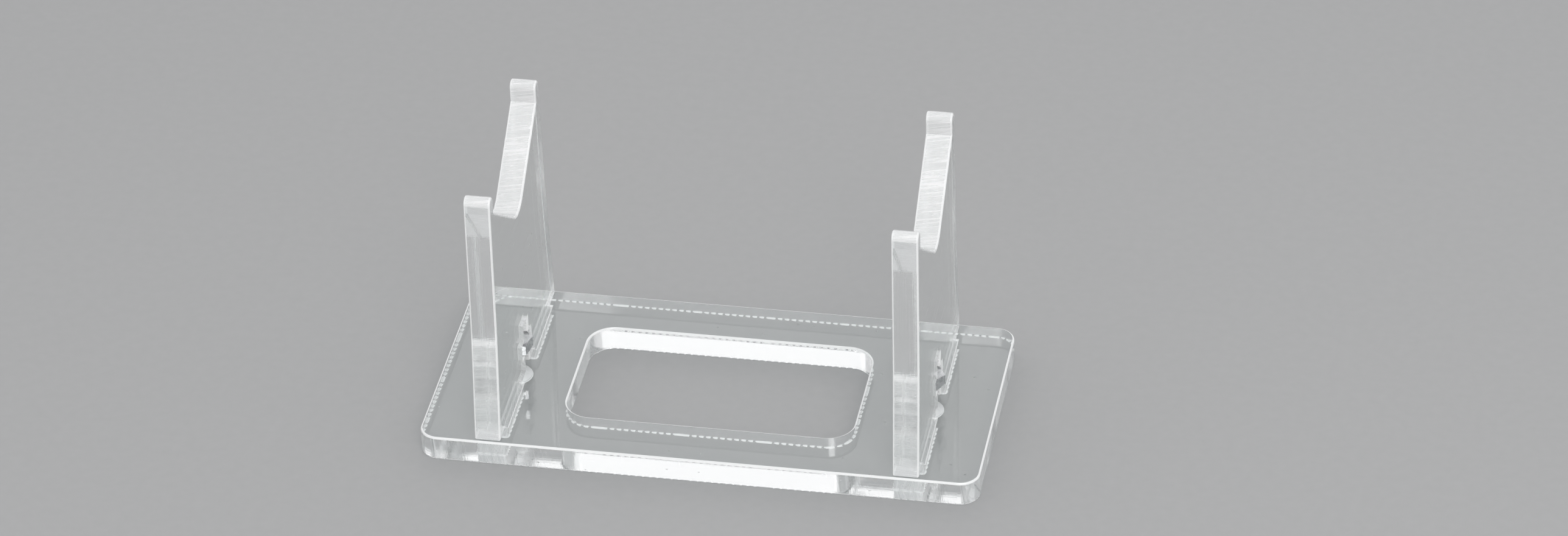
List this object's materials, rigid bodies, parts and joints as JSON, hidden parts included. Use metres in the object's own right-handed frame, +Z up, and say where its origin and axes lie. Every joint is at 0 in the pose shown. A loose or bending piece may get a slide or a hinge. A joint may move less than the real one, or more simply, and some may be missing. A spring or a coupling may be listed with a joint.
{
  "type": "knife display stand",
  "caption": "Clear acrylic display stand for a pocket knife: two notched uprights tenoned and screwed to a windowed base plate.",
  "frame": {"origin": "centre of the base plate's underside, on the surface the stand rests on", "axes": "+Z up, +X along the base plate's long side towards the right upright, -Y towards the front"},
  "size_m": [0.085, 0.04, 0.0455],
  "materials": {
    "clear_acrylic": "clear polished sheet with laser-cut edges",
    "steel_hardware": "bright zinc-plated steel"
  },
  "bodies": {
    "root": {"base_plate": "clear_acrylic", "left_upright": "clear_acrylic", "right_upright": "clear_acrylic", "left_screw": "steel_hardware", "right_screw": "steel_hardware", "left_nut": "steel_hardware", "right_nut": "steel_hardware"}
  },
  "joints": []
}
